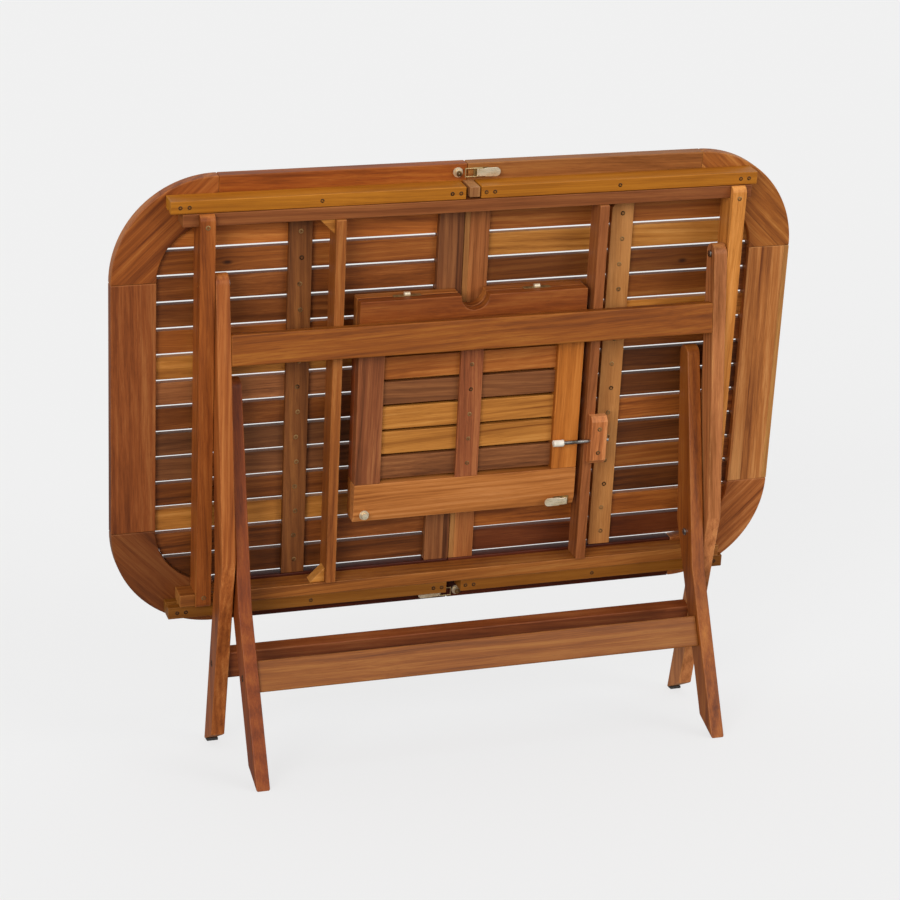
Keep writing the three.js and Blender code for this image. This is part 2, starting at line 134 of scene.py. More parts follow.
# ---- oiled hardwood
# dark vein, body colour and pale vein of each kind of board
woods = {
    "amber": ("5e2a0a", "98531d", "c07c3a"),
    "honey": ("7e4410", "bb7830", "dc9c50"),
    "russet": ("56230a", "8a421a", "ad6434"),
    "walnut": ("3c1a06", "703a12", "9a5c2a"),
    "umber": ("40200c", "754524", "9a6438"),
    "plum": ("40200f", "764026", "a46a42"),
    "tan": ("8a5424", "b17a3c", "cf9854"),
    "ochre": ("8a4e06", "b26e12", "cb8826"),
    "rose": ("60300f", "935430", "b47546"),
}
grain = {
    "ring": 26, "ringSpread": (0.7, 1.3), "ringPhase": 6, "ringShare": 0.04, "warp": 0.007,
    "heartNear": 0.05, "heartFar": 0.16, "lean": 2.5, "slide": 4,
    "middle": 0.47, "stops": (0.38, 0.50, 0.64),
    "poreFrom": (0.37, 0.29), "poreShare": 0.35, "heartFrom": (0.57, 0.74), "heartShare": 0.32,
    # the end keys paint sawn ends paler, a painted sheen on the tops of the legs and cross bars
    "endSheenFrom": (0.55, 0.85), "endSheenShare": 0.35, "rubFrom": (0.35, 0.65), "wear": 0.30,
    "fineGloss": 0.18, "slowGloss": 0.12, "poreDepth": -0.6,
    "bump": 0.20, "bumpDepth": 0.0004, "roughness": 0.32, "gloss": 0.30,
}
# lengths glued side by side: line of glue, spread of shade, shift along and across the log
glued = {"line": 0.0005, "lineShare": 0.45, "shade": 0.09, "along": 3.0, "across": 0.05, "seedStep": 7.0}
knots = {"flatten": (0.5, 1, 0.3), "swell": -0.25, "push": -0.7, "edge": 1.1, "core": 0.3,
         "share": 0.85, "colour": "2c1206"}
# layers of the figure: changes per metre along and across the grain, and each one's share of the shade
figure = {
    "cloud": {"scale": (4.5, 22, 22), "detail": 3.0, "share": 0.16},
    "slow": {"scale": (1.1, 30, 30), "detail": 2.0, "share": 0.17},
    "streak": {"scale": (1.6, 130, 130), "detail": 4.0, "roughness": 0.55, "share": 0.19},
    "fine": {"scale": (5, 420, 420), "detail": 3.0, "roughness": 0.6, "share": 0.17},
    "fibre": {"scale": (14, 1100, 1100), "detail": 2.0, "roughness": 0.6, "share": 0.13},
    "pores": {"scale": (34, 1300, 1300), "detail": 1.0},
    "heart": {"scale": (0.8, 34, 34), "detail": 3.0, "roughness": 0.55},
    "rub": {"scale": (40, 40, 40), "detail": 3.0},
    "wander": {"scale": (4.0, 16, 16), "detail": 1.0},
}


# how far a board leans from its wood: red, green, blue; mostly the board's own tone, but the low values on
# the bottom side boards, bottom guides and stretchers are painted shade for the dimmer lower table
toneAndShadeShift = {
    "leftEndBoard": (1.0, 1.15, 1.1), "rightEndBoard": (1.32, 1.62, 2.5), "rightEndStrip": (1.0, 1.0, 1.1),
    "leftCornerTop": (0.95, 0.87, 0.83), "leftCornerBottom": (0.68, 0.82, 0.8),
    "rightCornerTop": (1.06, 1.16, 1.2), "rightCornerBottom": (1.13, 1.2, 1.7),
    "leftSideTop": (1.12, 1.15, 0.48), "rightSideTop": (0.98, 1.06, 0.64),
    # painted shade: the bottom side boards and bottom guides are darkened for the shade under the guides
    "leftSideBottom": (0.36, 0.17, 0.1), "rightSideBottom": (0.4, 0.2, 0.12),
    "leftGuideTop": (1.0, 0.98, 1.25), "rightGuideTop": (0.92, 0.87, 0.95),
    "leftGuideBottom": (0.45, 0.42, 0.78), "rightGuideBottom": (0.5, 0.46, 0.78),
    "railTop": (0.84, 0.8, 0.58), "railBottom": (0.98, 1.12, 1.25),
    "crossBarLeft": (1.08, 1.0, 1.0), "crossBarRight": (1.22, 1.18, 1.3),
    "leafRailLeft": (1.08, 1.16, 1.4), "leafRailRight": (1.04, 1.02, 0.8),
    "leftInnerEnd": (1.02, 0.96, 0.94), "splitStrip": (0.8, 0.75, 0.85),
    "rightInnerEnd": (1.15, 1.18, 0.9),
    "leftBatten": (1.07, 1.0, 0.75), "rightBatten": (1.09, 1.02, 1.15),
    "leafTopRail": (0.9, 0.95, 0.6), "leafBottomRail": (0.94, 0.84, 1.1),
    "leafStileLeft": (1.35, 1.35, 1.12), "leafStileRight": (0.96, 0.76, 0.6),
    "leafBatten": (1.5, 1.4, 1.15),
    "guideStop": (0.82, 0.8, 1.1), "pinBlock": (2.0, 2.95, 4.2),
    # painted shade: the stretchers are darkened for the dimmer lower table
    "upperStretcher": (0.84, 0.79, 0.45), "frontStretcher": (0.78, 0.84, 0.83),
    "rearStretcher": (0.84, 0.9, 0.95),
    "outerLegLeft": (1.15, 1.1, 1.3), "outerLegRight": (1.55, 1.75, 1.6),
    "innerLegLeft": (0.88, 0.8, 0.42), "innerLegRight": (0.9, 0.84, 0.7),
}


def layer(tree, vector, name):
    look = figure[name]
    return stretched(tree, vector, look["scale"], look["detail"], look.get("roughness", 0.5))


def partRoundKnot(tree, local, knot):
    # the grain parts round a knot; near is the distance to it in knot sizes
    away = vectors(tree, "SUBTRACT", local, knot["at"])
    flat = vectors(tree, "MULTIPLY", away, knots["flatten"])
    reach = put(tree, "ShaderNodeVectorMath", {0: flat}, operation="LENGTH").outputs["Value"]
    near = maths(tree, "DIVIDE", reach, knot["size"])
    swell = maths(tree, "MULTIPLY", maths(tree, "MULTIPLY", near, near), knots["swell"])
    push = maths(tree, "MULTIPLY", maths(tree, "POWER", math.e, swell), knots["push"])
    return vectors(tree, "ADD", local, vectors(tree, "SCALE", away, push)), near


def glueStrips(tree, local, strip, draw, seed):
    # narrow lengths glued edge to edge, each from another tree
    across = put(tree, "ShaderNodeSeparateXYZ", {0: local}).outputs[1]
    steps = maths(tree, "DIVIDE", maths(tree, "ADD", across, draw.uniform(0, strip)), strip)
    number = maths(tree, "ADD", maths(tree, "FLOOR", steps), seed * glued["seedStep"])
    fate = put(tree, "ShaderNodeTexWhiteNoise", {"W": number}, noise_dimensions="1D").outputs["Value"]
    shade = maths(tree, "MULTIPLY_ADD", fate, glued["shade"], -glued["shade"] / 2)
    along = maths(tree, "MULTIPLY", fate, glued["along"])
    aside = maths(tree, "MULTIPLY", fate, glued["across"])
    move = put(tree, "ShaderNodeCombineXYZ", {0: along, 1: aside}).outputs[0]
    line = mask(tree, maths(tree, "PINGPONG", steps, 0.5), glued["line"] / strip, 0.0)
    return vectors(tree, "ADD", local, move), shade, line


def cutFromLog(tree, local, draw):
    # where in the log the board lay, and how its grain wanders
    angle = draw.uniform(0, 2 * math.pi)
    far = draw.uniform(grain["heartNear"], grain["heartFar"])
    lean = [math.radians(draw.uniform(-grain["lean"], grain["lean"])) for _ in range(2)]
    start = (draw.uniform(-grain["slide"], grain["slide"]), far * math.cos(angle), far * math.sin(angle))
    placed = put(tree, "ShaderNodeMapping", {"Vector": local, "Location": start,
                                             "Rotation": (0, lean[0], lean[1])}).outputs[0]
    look = figure["wander"]
    sampled = put(tree, "ShaderNodeMapping", {"Vector": placed, "Scale": look["scale"]}).outputs[0]
    wander = put(tree, "ShaderNodeTexNoise", {"Vector": sampled, "Scale": 1.0,
                                              "Detail": look["detail"]}).outputs["Color"]
    wander = vectors(tree, "SUBTRACT", wander, (0.5, 0.5, 0.5))
    wander = vectors(tree, "MULTIPLY", wander, (0, grain["warp"], grain["warp"]))
    return placed, vectors(tree, "ADD", placed, wander)


def makeWood(name, wood, seed, strip=0.0, skew=0.0, knot=None, streaks=1.0, lift=1.0):
    draw = random.Random(seed)
    # the board's own tone, with painted shade on the lower boards and stretchers
    shift = toneAndShadeShift.get(name, (1, 1, 1))
    dark, body, pale = ([part * lift * lean for part, lean in zip(colour(code), shift)] + [1.0]
                        for code in woods[wood])
    material, tree = startMaterial(name)
    coords = put(tree, "ShaderNodeTexCoord")
    local = coords.outputs["Object"]
    if skew:
        turn = (0, 0, math.radians(skew))
        local = put(tree, "ShaderNodeMapping", {"Vector": local, "Rotation": turn}).outputs[0]
    if knot:
        local, near = partRoundKnot(tree, local, knot)
    if strip:
        local, stripShade, glueLine = glueStrips(tree, local, strip, draw, seed)
    placed, bent = cutFromLog(tree, local, draw)
    rings = put(tree, "ShaderNodeTexWave", {
        "Vector": bent, "Scale": grain["ring"] * draw.uniform(*grain["ringSpread"]), "Distortion": 0.8,
        "Detail": 1.0, "Detail Scale": 1.0, "Phase Offset": draw.uniform(0, grain["ringPhase"])},
        wave_type="RINGS", rings_direction="X", wave_profile="SIN").outputs["Fac"]

    layers = {"cloud": layer(tree, placed, "cloud")}
    for part in ("slow", "streak", "fine", "fibre"):
        layers[part] = layer(tree, bent, part)
    shade = maths(tree, "MULTIPLY", rings, grain["ringShare"])
    for part, value in layers.items():
        share = figure[part]["share"] * (streaks if part == "streak" else 1.0)
        shade = maths(tree, "MULTIPLY_ADD", maths(tree, "SUBTRACT", value, 0.5), share, shade)
    shade = maths(tree, "ADD", shade, grain["middle"])
    if strip:
        shade = maths(tree, "ADD", shade, stripShade)
    tint = ramp(tree, shade, list(zip(grain["stops"], (dark, body, pale))))

    def cover(amount, share, code):
        return mixColours(tree, maths(tree, "MULTIPLY", amount, share), tint, code)

    # short dark pores, then a few slow dark heart streaks
    poreMask = mask(tree, layer(tree, bent, "pores"), *grain["poreFrom"])
    tint = cover(poreMask, grain["poreShare"], dark)
    heartMask = mask(tree, layer(tree, bent, "heart"), *grain["heartFrom"])
    tint = cover(heartMask, grain["heartShare"], dark)
    if strip:
        tint = cover(glueLine, glued["lineShare"], dark)
    if knot:
        heartwood = mask(tree, near, knots["edge"], knots["core"])
        tint = cover(heartwood, knots["share"], colour(knots["colour"]))
    # sawn ends are painted paler, which on the tops of the legs and cross bars is a painted sheen; rubbed
    # edges are a little paler
    facing = put(tree, "ShaderNodeSeparateXYZ", {0: coords.outputs["Normal"]}).outputs[0]
    sawnEndSheen = mask(tree, maths(tree, "ABSOLUTE", facing), *grain["endSheenFrom"])
    tint = cover(sawnEndSheen, grain["endSheenShare"], pale)
    edge = put(tree, "ShaderNodeAttribute", attribute_name="edgeWear").outputs["Fac"]
    rub = mask(tree, layer(tree, placed, "rub"), *grain["rubFrom"])
    tint = cover(maths(tree, "MULTIPLY", edge, rub), grain["wear"], pale)

    gloss = maths(tree, "MULTIPLY_ADD", layers["fine"], grain["fineGloss"], grain["roughness"])
    gloss = maths(tree, "MULTIPLY_ADD", layers["slow"], grain["slowGloss"], gloss)
    height = maths(tree, "MULTIPLY", layers["fibre"], 0.5)
    height = maths(tree, "MULTIPLY_ADD", layers["fine"], 0.5, height)
    height = maths(tree, "MULTIPLY_ADD", poreMask, grain["poreDepth"], height)
    bump = put(tree, "ShaderNodeBump", {"Height": height, "Strength": grain["bump"],
                                        "Distance": grain["bumpDepth"]})
    shader = put(tree, "ShaderNodeBsdfPrincipled", {"Base Color": tint, "Roughness": gloss,
                                                    "Normal": bump.outputs[0]})
    shader.inputs["Specular IOR Level"].default_value = grain["gloss"]
    put(tree, "ShaderNodeOutputMaterial", {"Surface": shader.outputs[0]})
    return material


# ---- metals and plastic
metals = {
    "agedBrass": {"body": "b39660", "stain": "6b5230", "metallic": 0.8, "roughness": 0.34},
    "paleBrass": {"body": "f4e4c4", "stain": "e0c8a0", "metallic": 0.6, "roughness": 0.28},
    "brightSteel": {"body": "c4c2bd", "stain": "7f7a72", "metallic": 1.0, "roughness": 0.26},
    "brassWire": {"body": "c8ae7c", "stain": "80643c", "metallic": 0.8, "roughness": 0.3},
    "screwBrass": {"body": "b08a58", "stain": "4a3420", "metallic": 0.8, "roughness": 0.38},
    "screwDark": {"body": "4c3018", "stain": "241408", "metallic": 0.5, "roughness": 0.5},
    "creamCap": {"body": "efe8da", "stain": "cfc4ae", "metallic": 0.0, "roughness": 0.42},
    "darkGlide": {"body": "2c2825", "stain": "171412", "metallic": 0.0, "roughness": 0.55},
}


# cloudy tarnish and fine scratches, shared by the metals
tarnish = {"cloud": (45, 45, 45), "scratch": (90, 1500, 1500), "stops": (0.36, 0.56), "dull": 0.22,
           "evenOut": 0.10, "scratchDepth": 0.4, "bump": 0.15, "bumpDepth": 0.0002}


def makeMetal(name):
    look = metals[name]
    material, tree = startMaterial(name)
    coords = put(tree, "ShaderNodeTexCoord").outputs["Object"]
    cloud = stretched(tree, coords, tarnish["cloud"])
    scratch = stretched(tree, coords, tarnish["scratch"])
    tint = ramp(tree, cloud, list(zip(tarnish["stops"], (colour(look["stain"]), colour(look["body"])))))
    rough = maths(tree, "MULTIPLY_ADD", scratch, tarnish["dull"], look["roughness"] - tarnish["evenOut"])
    height = maths(tree, "MULTIPLY_ADD", scratch, tarnish["scratchDepth"], cloud)
    bump = put(tree, "ShaderNodeBump", {"Height": height, "Strength": tarnish["bump"],
                                        "Distance": tarnish["bumpDepth"]})
    shader = put(tree, "ShaderNodeBsdfPrincipled", {"Base Color": tint, "Roughness": rough,
                                                    "Normal": bump.outputs[0]})
    shader.inputs["Metallic"].default_value = look["metallic"]
    put(tree, "ShaderNodeOutputMaterial", {"Surface": shader.outputs[0]})
    return material


finishes = {name: makeMetal(name) for name in metals}
print("stage 2: finishes are made")


# ---- board making
# all sizes in a place's own axes: x along the table, y out of the underside is minus, z across
def localPoints(node, place):
    back = place.inverted()
    return [back @ v.co for v in cadNodes[node].data.vertices]


def localBox(node, place):
    points = localPoints(node, place)
    low = Vector([min(p[i] for p in points) for i in range(3)])
    high = Vector([max(p[i] for p in points) for i in range(3)])
    return low, high


def boxForm(low, high):
    form = bmesh.new()
    corners = [form.verts.new((x, y, z)) for x in (low[0], high[0]) for y in (low[1], high[1])
               for z in (low[2], high[2])]
    for face in ((0, 1, 3, 2), (4, 6, 7, 5), (0, 4, 5, 1), (2, 3, 7, 6), (0, 2, 6, 4), (1, 5, 7, 3)):
        form.faces.new([corners[i] for i in face])
    bmesh.ops.recalc_face_normals(form, faces=form.faces)
    return form


def prismForm(outline, axis, low, high):
    # outline points fill the two axes that remain, in x, y, z order
    form = bmesh.new()

    def point(pair, along):
        values = list(pair)
        values.insert("xyz".index(axis), along)
        return form.verts.new(values)

    ends = [[point(pair, along) for pair in outline] for along in (low, high)]
    form.faces.new(ends[0])
    form.faces.new(ends[1])
    count = len(outline)
    for i in range(count):
        form.faces.new((ends[0][i], ends[0][(i + 1) % count], ends[1][(i + 1) % count], ends[1][i]))
    bmesh.ops.recalc_face_normals(form, faces=form.faces)
    return form


def nodeForm(node, place):
    form = bmesh.new()
    form.from_mesh(cadNodes[node].data)
    form.transform(place.inverted())
    bmesh.ops.remove_doubles(form, verts=form.verts, dist=1e-5)
    bmesh.ops.dissolve_limit(form, angle_limit=math.radians(1.0), verts=form.verts, edges=form.edges)
    return form


# angles in degrees from which an edge is rounded, and from which it stays a crease
edgeRule = {"round": 28, "crease": 40, "shortest": 2.4 * mm, "segments": 3}


def softenEdges(form, radius):
    sharp = [e for e in form.edges if len(e.link_faces) == 2
             and e.calc_face_angle() > math.radians(edgeRule["round"])
             and e.calc_length() > edgeRule["shortest"]]
    made = bmesh.ops.bevel(form, geom=sharp, offset=radius, segments=edgeRule["segments"], profile=0.5,
                           affect="EDGES", clamp_overlap=False)
    for edge in form.edges:
        if len(edge.link_faces) == 2 and edge.calc_face_angle() > math.radians(edgeRule["crease"]):
            edge.smooth = False
    return set(made["faces"])


def arc(centre, radius, start, stop, steps):
    angles = [math.radians(start + (stop - start) * i / steps) for i in range(steps + 1)]
    return [(centre[0] + radius * math.cos(a), centre[1] + radius * math.sin(a)) for a in angles]


def makeBoard(name, form, place, along, look, body, nodes=(), soften=1.6 * mm, face=(0, 1, 0)):
    rounded = softenEdges(form, soften) if soften else set()
    worn = [bool(v.link_faces) and all(f in rounded for f in v.link_faces) for v in form.verts]
    # the board's own x axis runs along its grain, so that the finish follows it
    axisX = Vector(along).normalized()
    axisZ = (Vector(face) - axisX * Vector(face).dot(axisX)).normalized()
    turn = Matrix((axisX, axisZ.cross(axisX), axisZ)).transposed().to_4x4()
    points = [v.co for v in form.verts]
    centre = Vector([(min(p[i] for p in points) + max(p[i] for p in points)) / 2 for i in range(3)])
    stand = Matrix.Translation(centre) @ turn
    form.transform(stand.inverted())
    mesh = bpy.data.meshes.new(name)
    form.to_mesh(mesh)
    form.free()
    wear = mesh.attributes.new("edgeWear", "FLOAT", "POINT")
    wear.data.foreach_set("value", [float(w) for w in worn])
    mesh.polygons.foreach_set("use_smooth", [True] * len(mesh.polygons))
    thing = bpy.data.objects.new(name, mesh)
    bpy.context.scene.collection.objects.link(thing)
    thing.matrix_world = place @ stand
    normals = thing.modifiers.new("flatFaces", "WEIGHTED_NORMAL")
    normals.weight = 50
    normals.keep_sharp = True
    thing.data.materials.append(look if isinstance(look, bpy.types.Material) else makeWood(name, **look))
    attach(thing, body)
    if nodes:
        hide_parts(*nodes)
    return thing


alongX, alongZ = (1, 0, 0), (0, 0, 1)


# ---- screws
screw = {"radius": 4.2 * mm, "rise": 0.5 * mm, "cross": 2.5 * mm, "arm": 0.75 * mm, "sunk": 0.2 * mm,
         "recess": 0.09 * mm}


def addScrew(form, where, size=1.0):
    # domed head with a cross recess, on the plane z = 0 of its own place
    radius, cross, arm = (screw[k] * size for k in ("radius", "cross", "arm"))
    plus = [(arm, cross), (arm, arm), (cross, arm), (cross, -arm), (arm, -arm), (arm, -cross),
            (-arm, -cross), (-arm, -arm), (-cross, -arm), (-cross, arm), (-arm, arm), (-arm, cross)]
    bearings = [math.atan2(p[1], p[0]) for p in plus]
    rims = []
    for reach, height in ((radius, -screw["sunk"]), (radius * 0.97, screw["rise"] * 0.55),
                          (radius * 0.78, screw["rise"])):
        rims.append([form.verts.new(where @ Vector((reach * math.cos(b), reach * math.sin(b), height)))
                     for b in bearings])
    rims.append([form.verts.new(where @ Vector((p[0], p[1], screw["rise"] * 1.05))) for p in plus])
    rims.append([form.verts.new(where @ Vector((p[0], p[1], -screw["recess"]))) for p in plus])
    for outer, inner in zip(rims, rims[1:]):
        for i in range(len(outer)):
            j = (i + 1) % len(outer)
            form.faces.new((outer[i], outer[j], inner[j], inner[i]))
    form.faces.new(rims[-1])
    form.faces.new(list(reversed(rims[0])))


def placeOn(x, y, z, outward, spin):
    facing = Vector(outward).normalized().to_track_quat("Z", "Y").to_matrix().to_4x4()
    return Matrix.Translation((x, y, z)) @ facing @ Matrix.Rotation(spin, 4, "Z")


def makeScrews(name, spots, place, body, seed, size=1.0, outward=(0, -1, 0), look="screwBrass"):
    draw = random.Random(seed)
    form = bmesh.new()
    for x, y, z in spots:
        addScrew(form, placeOn(x, y, z, outward, draw.uniform(0, math.pi)), size)
    bmesh.ops.recalc_face_normals(form, faces=form.faces)
    form.transform(place)
    mesh = bpy.data.meshes.new(name)
    form.to_mesh(mesh)
    form.free()
    thing = bpy.data.objects.new(name, mesh)
    bpy.context.scene.collection.objects.link(thing)
    mesh.materials.append(finishes[look])
    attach(thing, body)
    return thing


# ---- tabletop halves
top = {
    "halfLength": 600 * mm, "halfWidth": 400 * mm, "thick": 22 * mm, "border": 76 * mm, "corner": 178 * mm,
    "slatThick": 12 * mm, "slatGap": 6.3 * mm, "slats": 14, "slatFrom": 44.8 * mm, "slatTo": 523.7 * mm,
    "slatClear": 0.3 * mm, "slatSteps": 6,
    "knots": (("left", 12), ("right", 11)), "knotAt": (0.12, 0.004, -0.006), "knotSize": 0.005,
    "batten": 283 * mm, "battenHalf": 20 * mm, "battenThick": 10 * mm, "battenShort": 1 * mm,
    "battenCut": 14 * mm, "stagger": 2 * mm, "edge": 2.0 * mm, "slatEdge": 0.6 * mm, "edgeStrip": 9 * mm,
    "guideScrews": (22, 37, 259, 479, 494), "guideFace": -38 * mm, "guideMiddle": 361 * mm,
    # wood and brightness of each slat, from the lowest up
    "leftSlats": ["walnut", "walnut", "honey", "walnut", "umber", "umber", "walnut", "umber", "honey",
                  "amber", "walnut", "walnut", "amber", "amber"],
    "leftLift": [0.85, 1.3, 1.0, 1.15, 1.1, 0.9, 1.15, 1.8, 1.1, 1.15, 1.05, 1.3, 0.95, 1.5],
    "rightSlats": ["russet", "amber", "walnut", "amber", "walnut", "amber", "walnut", "walnut", "amber",
                   "honey", "amber", "amber", "honey", "amber"],
    "rightLift": [0.5, 1.1, 0.75, 0.85, 0.75, 1.05, 0.7, 0.62, 0.88, 1.2, 0.72, 0.5, 0.88, 0.95],
}


def slatReach(z):
    # the outer end of a slat follows the round inner corner of the border
    reach = top["slatTo"]
    arcZ = top["halfWidth"] - top["corner"]
    radius = top["corner"] - top["border"] - top["slatClear"]
    if abs(z) > arcZ:
        reach = top["halfLength"] - top["corner"] + math.sqrt(max(0.0, radius ** 2 - (abs(z) - arcZ) ** 2))
    return reach


def makeSlats(side, sign, body):
    field = top["halfWidth"] - top["border"]
    pitch = (2 * field - top["slatGap"]) / top["slats"]
    width = pitch - top["slatGap"]
    for i in range(top["slats"]):
        low = -field + top["slatGap"] + i * pitch
        high = low + width
        heights = [low + width * k / top["slatSteps"] for k in range(top["slatSteps"] + 1)]
        outer = [(sign * slatReach(z), z) for z in heights]
        outline = [(sign * top["slatFrom"], low)] + outer + [(sign * top["slatFrom"], high)]
        form = prismForm(outline, "y", top["thick"] - top["slatThick"], top["thick"])
        wood, lift = top[f"{side}Slats"][i], top[f"{side}Lift"][i]
        look = {"wood": wood, "seed": 100 + i + (50 if sign > 0 else 0), "lift": lift}
        if (side, i) in top["knots"]:
            along, up, out = top["knotAt"]
            look["knot"] = {"at": (sign * along, up, out), "size": top["knotSize"]}
        makeBoard(f"{side}Slat{i + 1:02d}", form, topPlace, alongX, look, body, (f"{side}_slats",),
                  top["slatEdge"])
    # the batten that every slat is screwed to
    x0 = sign * top["batten"] - top["battenHalf"]
    x1 = x0 + 2 * top["battenHalf"]
    end = field - top["battenShort"]
    if sign < 0:
        form = boxForm((x0, 0, -end), (x1, top["battenThick"], end))
        look = {"wood": "umber", "seed": 231}
    else:
        cut = top["battenCut"]
        outline = [(x0, -end), (x1, -end), (x1, end), (x0 + cut, end), (x0, end - cut)]
        form = prismForm(outline, "y", 0, top["battenThick"])
        look = {"wood": "tan", "seed": 232, "streaks": 0.6}
    makeBoard(f"{side}Batten", form, topPlace, alongZ, look, body, (), 1.0 * mm)
    spots = [(sign * top["batten"] + (0.0 if i % 2 else top["stagger"]), 0,
              -field + top["slatGap"] + i * pitch + width / 2) for i in range(top["slats"])]
    makeScrews(f"{side}BattenScrews", spots, topPlace, body, 7 if sign < 0 else 8)


# wood of the corner and the long side board on each edge
borderWoods = {
    ("left", "top"): ("amber", "russet"), ("right", "top"): ("amber", "rose"),
    ("left", "bottom"): ("russet", "walnut"), ("right", "bottom"): ("amber", "walnut"),
}
cornerFit = {"shift": 0.1 * mm, "trim": 0.2 * mm, "outerSteps": 28, "innerSteps": 20, "strip": 31 * mm}


def makeBorder(side, sign, body):
    outer, inner = top["corner"], top["corner"] - top["border"]
    middle = [half - outer + cornerFit["shift"] for half in (top["halfLength"], top["halfWidth"])]
    for edge, up in (("top", 1), ("bottom", -1)):
        part = edge.title()
        cornerWood, sideWood = borderWoods[(side, edge)]
        outline = (arc(middle, outer - cornerFit["trim"], 90, 0, cornerFit["outerSteps"])
                   + arc(middle, inner, 0, 90, cornerFit["innerSteps"]))
        outline = [(sign * x, up * z) for x, z in outline]
        look = {"wood": cornerWood, "seed": 31 + 2 * sign + up, "strip": cornerFit["strip"],
                "skew": -45 * sign * up}
        makeBoard(f"{side}Corner{part}", prismForm(outline, "y", 0, top["thick"]), topPlace,
                  alongX, look, body, (f"{side}_corner_{edge}",), top["edge"])
        makeBoard(f"{side}Side{part}", nodeForm(f"{side}_side_{edge}", topPlace), topPlace, alongX,
                  {"wood": sideWood, "seed": 41 + 2 * sign + up}, body, (f"{side}_side_{edge}",),
                  top["edge"])
        makeBoard(f"{side}Guide{part}", nodeForm(f"{side}_guide_{edge}", topPlace), topPlace, alongX,
                  {"wood": "ochre", "seed": 51 + 2 * sign + up, "streaks": 0.5}, body,
                  (f"{side}_guide_{edge}",), 1.2 * mm)
        spots = [(sign * x * mm, top["guideFace"], up * top["guideMiddle"]) for x in top["guideScrews"]]
        makeScrews(f"{side}Guide{part}Screws", spots, topPlace, body, 60 + sign + 2 * up,
                   0.85, look="screwDark")
    if side == "left":
        makeBoard("leftEndBoard", nodeForm("left_end_board", topPlace), topPlace, alongZ,
                  {"wood": "russet", "seed": 71, "strip": 0.019}, body, ("left_end_board",),
                  top["edge"])
        makeBoard("leftInnerEnd", nodeForm("left_inner_end", topPlace), topPlace, alongZ,
                  {"wood": "umber", "seed": 73, "strip": 0.015}, body, ("left_inner_end",),
                  1.2 * mm)
    else:
        low, high = localBox("right_end_board", topPlace)
        strip = top["edgeStrip"]
        makeBoard("rightEndBoard", boxForm(low, (high.x - strip, high.y, high.z)), topPlace, alongZ,
                  {"wood": "amber", "seed": 75, "strip": 0.02}, body, ("right_end_board",),
                  1.2 * mm)
        makeBoard("rightEndStrip", boxForm((high.x - strip, low.y, low.z), high), topPlace, alongZ,
                  {"wood": "tan", "seed": 76}, body, ("right_end_board",), 1.2 * mm)
        low, high = localBox("right_inner_end", topPlace)
        makeBoard("splitStrip", boxForm(low, (low.x + strip, high.y, high.z)), topPlace, alongZ,
                  {"wood": "tan", "seed": 77}, body, ("right_inner_end",), 1.0 * mm)
        makeBoard("rightInnerEnd", boxForm((low.x + strip, low.y, low.z), high), topPlace, alongZ,
                  {"wood": "rose", "seed": 78, "strip": 0.012}, body, ("right_inner_end",),
                  1.0 * mm)
        makeBoard("guideStop", nodeForm("guide_stop", topPlace), topPlace, alongZ,
                  {"wood": "tan", "seed": 79}, body, ("guide_stop",), 0.8 * mm)


for side, sign in (("left", -1), ("right", 1)):
    makeSlats(side, sign, f"{side}_half")
    makeBorder(side, sign, f"{side}_half")
print("stage 3: the tabletop halves are boarded")


# ---- underframe
under = [
    # piece, node, grain, wood, seed, edge, slot
    ("railTop", "rail_top", alongX, "rose", 81, 1.4, "board_red"),
    ("railBottom", "rail_bottom", alongX, "amber", 82, 1.4, "board_red"),
    ("leafRailLeft", "leaf_rail_left", alongZ, "amber", 83, 1.8, "board_brown"),
    ("leafRailRight", "leaf_rail_right", alongZ, "rose", 84, 1.8, "board_red"),
    ("crossBarLeft", "cross_bar_left", alongZ, "amber", 85, 1.8, "board_brown"),
    ("crossBarRight", "cross_bar_right", alongZ, "honey", 86, 1.8, "board_gold"),
    ("cornerBlockTop", "corner_block_top", alongX, "honey", 87, 0.8, "board_gold"),
    ("cornerBlockBottom", "corner_block_bottom", alongX, "honey", 88, 0.8, "board_gold"),
    ("pinBlock", "pin_block", alongZ, "russet", 89, 0.8, "board_red"),
]


underScrews = {"barLeft": -451.5 * mm, "barRight": 473.5 * mm, "barUp": 330 * mm,
               "pinBlock": (-72 * mm, -116 * mm)}


def makeUnderframe():
    for piece, node, along, wood, seed, edge, slot in under:
        makeBoard(piece, nodeForm(node, topPlace), topPlace, along, {"wood": wood, "seed": seed},
                  "underframe", (node,), edge * mm)
    for side in ("left", "right"):
        face = localBox(f"cross_bar_{side}", topPlace)[0].y
        spots = [(underScrews[f"bar{side.title()}"], face, up * underScrews["barUp"]) for up in (1, -1)]
        makeScrews(f"{side}BarScrews", spots, topPlace, "underframe", 92)
    low, high = localBox("pin_block", topPlace)
    middle = (low.x + high.x) / 2
    makeScrews("pinBlockScrews", [(middle, low.y, z) for z in underScrews["pinBlock"]], topPlace,
               "underframe", 93)


makeUnderframe()
print("stage 4: the underframe is boarded")


# ---- folded leaf
leaf = {
    "stile": 46 * mm, "stileGap": 0.2 * mm, "topRail": 54 * mm, "bottomRail": 70 * mm, "edge": 1.6 * mm,
    "slope": 17 * mm, "slopeFoot": 5 * mm, "notch": 24.5 * mm, "notchDrop": 2 * mm, "notchSteps": 24,
    "slats": 6, "gap": 5 * mm, "recess": 9 * mm, "slatThick": 9 * mm, "backRecess": 1 * mm,
    "batten": 20 * mm, "battenRecess": 1 * mm,
    "frontSlats": ["umber", "honey", "honey", "umber", "amber", "amber"],
    "slatLift": [1.25, 0.95, 1.0, 1.25, 1.15, 1.15],
}


def leafBoard(piece, form, along, wood, seed, node, slot, edge=1.6 * mm, lift=1.0):
    look = {"wood": wood, "seed": seed, "lift": lift}
    makeBoard(piece, form, topPlace, along, look, "underframe", (node,), edge)


